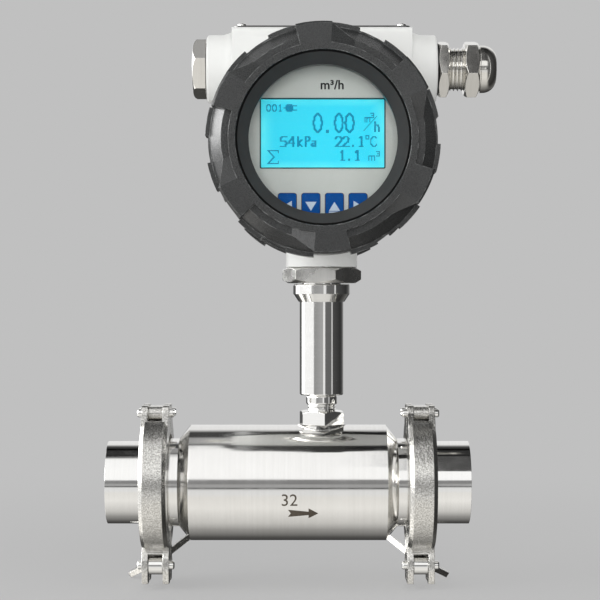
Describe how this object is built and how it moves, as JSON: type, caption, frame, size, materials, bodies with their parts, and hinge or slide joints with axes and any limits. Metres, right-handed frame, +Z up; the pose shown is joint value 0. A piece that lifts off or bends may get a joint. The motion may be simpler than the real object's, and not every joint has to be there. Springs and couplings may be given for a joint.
{
  "type": "turbine flow meter",
  "caption": "Sanitary turbine flow meter: clamp-end steel body with a pipe stub at each end, and a turning display head on a stem.",
  "frame": {"origin": "centre of the inlet pipe stub's end face, on the pipe axis", "axes": "+X downstream along the pipe, +Y towards the rear cover (the display faces -Y), +Z up the stem"},
  "size_m": [0.1788, 0.12, 0.2595],
  "materials": {
    "polished_steel": "turned and polished stainless steel",
    "brushed_steel": "turned stainless steel with a fine lay",
    "cast_steel": "bead-blasted stainless casting",
    "nickel": "nickel-plated brass",
    "housing_paint": "off-white powder coat",
    "cover_paint": "charcoal fine-texture coat",
    "window": "clear toughened glass",
    "faceplate": "silver-grey printed film",
    "display": "lit liquid-crystal display",
    "key_film": "blue keys",
    "circuit_board": "solder mask",
    "rubber": "black elastomer",
    "gasket": "white silicone",
    "plate": "anodised plate",
    "copper": "enamelled copper winding",
    "terminal_plastic": "moulded terminal strip"
  },
  "bodies": {
    "meter": {"meter_body": "brushed_steel", "sensor_boss": "brushed_steel", "rotor_shaft": "polished_steel", "inlet_straightener": "brushed_steel", "outlet_straightener": "brushed_steel", "inlet_retaining_clip": "polished_steel", "outlet_retaining_clip": "polished_steel", "pickup_sensor": "brushed_steel", "pickup_coil": "copper", "sensor_lock_nut": "polished_steel", "stem_tube": "polished_steel", "head_lock_nut": "brushed_steel", "inlet_weld_ferrule": "polished_steel", "inlet_gasket": "gasket", "inlet_clamp_front": "cast_steel", "inlet_clamp_back": "cast_steel", "inlet_clamp_link": "cast_steel", "inlet_hinge_pins": "polished_steel", "inlet_swing_pin": "polished_steel", "outlet_weld_ferrule": "polished_steel", "outlet_gasket": "gasket", "outlet_clamp_front": "cast_steel", "outlet_clamp_back": "cast_steel", "outlet_clamp_link": "cast_steel", "outlet_hinge_pins": "polished_steel", "outlet_swing_pin": "polished_steel"},
    "rotor": {"rotor": "brushed_steel", "rotor_bearings": "brushed_steel"},
    "head": {"head_housing": "housing_paint", "top_nameplate": "plate", "nameplate_screws": "polished_steel", "display_faceplate": "faceplate", "lcd": "display", "display_board": "circuit_board", "main_board": "circuit_board", "board_posts": "nickel", "key_switches": "terminal_plastic", "terminal_block": "terminal_plastic", "terminal_screws": "nickel", "blanking_plug": "nickel", "plug_washer": "rubber", "gland_body": "nickel", "gland_washer": "rubber"},
    "window": {"window_glass": "window", "glass_retaining_ring": "plate", "front_cover_seal": "rubber"},
    "front_cover": {"front_cover": "cover_paint"},
    "rear_seal": {"rear_cover_seal": "rubber"},
    "rear_cover": {"rear_cover": "cover_paint"},
    "gland_seal": {"gland_seal": "rubber"},
    "gland_cap": {"gland_cap": "nickel"},
    "key_left": {"key_left": "key_film"},
    "key_down": {"key_down": "key_film"},
    "key_up": {"key_up": "key_film"},
    "key_right": {"key_right": "key_film"},
    "inlet_bolt": {"inlet_swing_bolt": "brushed_steel"},
    "inlet_nut": {"inlet_wing_nut": "cast_steel"},
    "outlet_bolt": {"outlet_swing_bolt": "brushed_steel"},
    "outlet_nut": {"outlet_wing_nut": "cast_steel"}
  },
  "joints": [
    {"name": "rotor_spin", "type": "hinge", "parent": "meter", "child": "rotor", "pos_m": [0.0985, 0, 0], "axis": [1, 0, 0], "continuous": true},
    {"name": "head_swivel", "type": "hinge", "parent": "meter", "child": "head", "pos_m": [0.0985, 0, 0.1], "axis": [0, 0, 1], "range_deg": [-175, 175]},
    {"name": "front_cover_travel", "type": "slide", "parent": "head", "child": "window", "axis": [0, -1, 0], "range_m": [0, 0.009]},
    {"name": "front_cover_turn", "type": "hinge", "parent": "window", "child": "front_cover", "pos_m": [0.0985, -0.05, 0.1542], "axis": [0, -1, 0], "range_deg": [0, 1620]},
    {"name": "rear_cover_travel", "type": "slide", "parent": "head", "child": "rear_seal", "axis": [0, 1, 0], "range_m": [0, 0.009]},
    {"name": "rear_cover_turn", "type": "hinge", "parent": "rear_seal", "child": "rear_cover", "pos_m": [0.0985, 0.05, 0.1542], "axis": [0, 1, 0], "range_deg": [0, 1620]},
    {"name": "gland_cap_travel", "type": "slide", "parent": "head", "child": "gland_seal", "axis": [1, 0, 0], "range_m": [0, 0.006]},
    {"name": "gland_cap_turn", "type": "hinge", "parent": "gland_seal", "child": "gland_cap", "pos_m": [0.165, 0, 0.191], "axis": [1, 0, 0], "range_deg": [0, 1440]},
    {"name": "key_left_press", "type": "slide", "parent": "head", "child": "key_left", "axis": [0, 1, 0], "range_m": [0, 0.0005], "stiffness_N_per_m": 800},
    {"name": "key_down_press", "type": "slide", "parent": "head", "child": "key_down", "axis": [0, 1, 0], "range_m": [0, 0.0005], "stiffness_N_per_m": 800},
    {"name": "key_up_press", "type": "slide", "parent": "head", "child": "key_up", "axis": [0, 1, 0], "range_m": [0, 0.0005], "stiffness_N_per_m": 800},
    {"name": "key_right_press", "type": "slide", "parent": "head", "child": "key_right", "axis": [0, 1, 0], "range_m": [0, 0.0005], "stiffness_N_per_m": 800},
    {"name": "inlet_bolt_swing", "type": "hinge", "parent": "meter", "child": "inlet_bolt", "pos_m": [0.0223, -0.006, -0.0375], "axis": [-1, 0, 0], "range_deg": [0, 90]},
    {"name": "inlet_nut_turn", "type": "hinge", "parent": "inlet_bolt", "child": "inlet_nut", "pos_m": [0.0223, 0.02, -0.0375], "axis": [0, 1, 0], "continuous": true},
    {"name": "outlet_bolt_swing", "type": "hinge", "parent": "meter", "child": "outlet_bolt", "pos_m": [0.1439, -0.006, -0.0375], "axis": [-1, 0, 0], "range_deg": [0, 90]},
    {"name": "outlet_nut_turn", "type": "hinge", "parent": "outlet_bolt", "child": "outlet_nut", "pos_m": [0.1439, 0.02, -0.0375], "axis": [0, 1, 0], "continuous": true}
  ],
  "couplings": [
    {"joint": "front_cover_travel", "follows": "front_cover_turn", "m_per_rad": 0.0003183},
    {"joint": "rear_cover_travel", "follows": "rear_cover_turn", "m_per_rad": 0.0003183},
    {"joint": "gland_cap_travel", "follows": "gland_cap_turn", "m_per_rad": 0.00023873}
  ]
}
